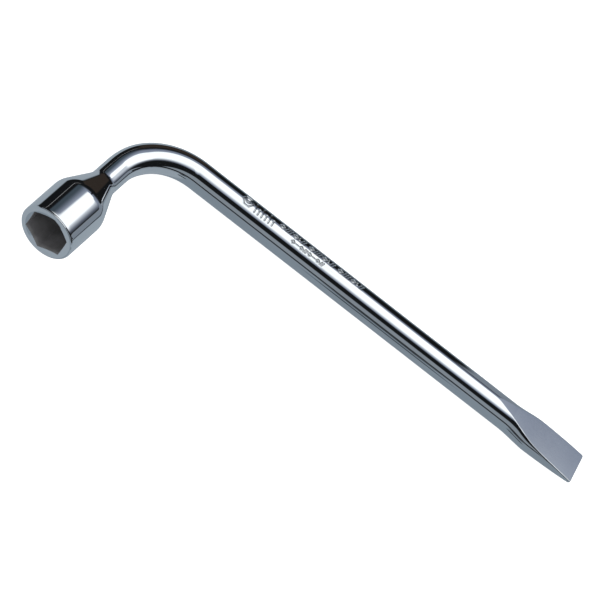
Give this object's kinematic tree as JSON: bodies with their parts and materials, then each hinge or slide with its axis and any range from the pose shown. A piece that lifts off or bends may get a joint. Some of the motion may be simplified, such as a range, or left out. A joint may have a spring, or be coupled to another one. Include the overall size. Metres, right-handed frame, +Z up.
{
  "type": "lug wrench",
  "caption": "L-shaped chrome-plated wheel-nut wrench: round bar bent behind a hexagon socket head, with the far end forged flat into a pry blade.",
  "frame": {"origin": "middle of the footprint, on the surface that the wrench lies on", "axes": "+X along the straight bar towards the blade tip, +Z up, and the socket mouth looks along -Y, turned a little towards -X and slightly up"},
  "size_m": [0.3172, 0.1008, 0.0342],
  "materials": {
    "head_chrome": "polished bright chrome plate over forged steel; the bare steel inside the hexagon recess is dark grey and matt",
    "weld_chrome": "weld bead dressed flush and plated, polished with faint hoop-wise grinding lines",
    "shank_chrome": "polished bright chrome plate over round steel bar; the blade's wide faces are ground and a little softer in reflection"
  },
  "bodies": {
    "root": {"socket_head": "head_chrome", "neck_weld": "weld_chrome", "bent_shank": "shank_chrome"}
  },
  "joints": []
}
